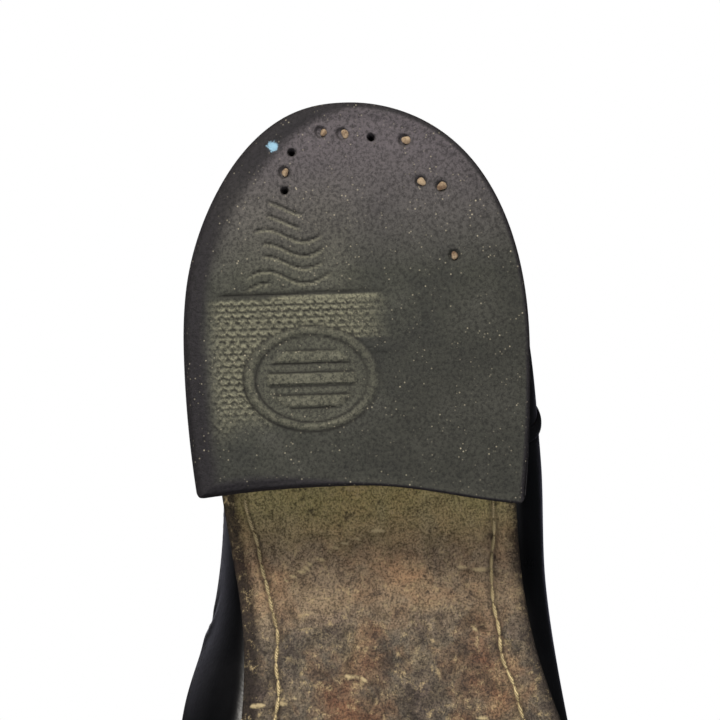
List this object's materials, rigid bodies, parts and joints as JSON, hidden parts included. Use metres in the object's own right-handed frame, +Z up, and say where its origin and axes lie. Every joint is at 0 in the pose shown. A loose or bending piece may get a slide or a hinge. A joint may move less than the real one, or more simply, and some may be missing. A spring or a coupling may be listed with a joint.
{
  "type": "leather slip-on shoe",
  "caption": "Right-foot low leather shoe with a stacked heel, nailed rubber heel tread, welted leather sole that bends at the ball, and elastic side gores.",
  "frame": {"origin": "on the ground, under the middle of the shoe's bounding box", "axes": "+X towards the toe, +Y towards the inner side of the foot, +Z up from the ground"},
  "size_m": [0.2984, 0.102, 0.1095],
  "materials": {
    "rubber": "worn moulded rubber, dull",
    "sole_leather": "scuffed oak-tanned sole leather, stained",
    "edge_leather": "black-inked edge leather, rubbed",
    "upper_leather": "black polished calf, creased",
    "lining_leather": "undyed lining leather",
    "elastic": "black ribbed elastic webbing",
    "board": "insole and stiffener board",
    "cork": "ground cork in binder",
    "steel": "spring steel",
    "nail_steel": "worn, slightly rusted nail heads"
  },
  "bodies": {
    "rearfoot": {"back_stay": "upper_leather", "collar_binding": "upper_leather", "cork_filler_rear": "cork", "gore_lateral": "elastic", "gore_medial": "elastic", "heel_counter": "board", "heel_foxing": "upper_leather", "heel_lift_1": "edge_leather", "heel_lift_2": "edge_leather", "heel_lift_3": "edge_leather", "heel_nail_1": "nail_steel", "heel_nail_2": "nail_steel", "heel_nail_3": "nail_steel", "heel_nail_4": "nail_steel", "heel_nail_5": "nail_steel", "heel_nail_6": "nail_steel", "heel_nail_7": "nail_steel", "heel_rand": "edge_leather", "heel_screw": "steel", "heel_tread": "rubber", "insole_rear": "board", "instep_tongue": "upper_leather", "outsole_rear": "sole_leather", "quarter_lateral": "upper_leather", "quarter_lining": "lining_leather", "quarter_medial": "upper_leather", "shank": "steel", "side_piping_lateral": "upper_leather", "side_piping_medial": "upper_leather", "sock_lining_rear": "lining_leather", "vamp_fold": "upper_leather", "vamp_interlining_lateral": "board", "vamp_interlining_medial": "board", "vamp_lining_rear": "lining_leather", "vamp_rear": "upper_leather", "welt_rear": "edge_leather"},
    "forefoot": {"cork_filler_forepart": "cork", "insole_forepart": "board", "outsole_forepart": "sole_leather", "sock_lining_forepart": "lining_leather", "toe_puff": "board", "vamp_interlining_toe": "board", "vamp_lining_toe": "lining_leather", "vamp_toe": "upper_leather", "welt_forepart": "edge_leather"}
  },
  "joints": [
    {"name": "sole_flex", "type": "hinge", "parent": "rearfoot", "child": "forefoot", "pos_m": [0.05922, -0.00134, 0.005], "axis": [-0.2079, -0.9781, 0], "range_deg": [0, 25], "stiffness_Nm_per_rad": 4, "deforming": ["vamp_fold"]}
  ]
}
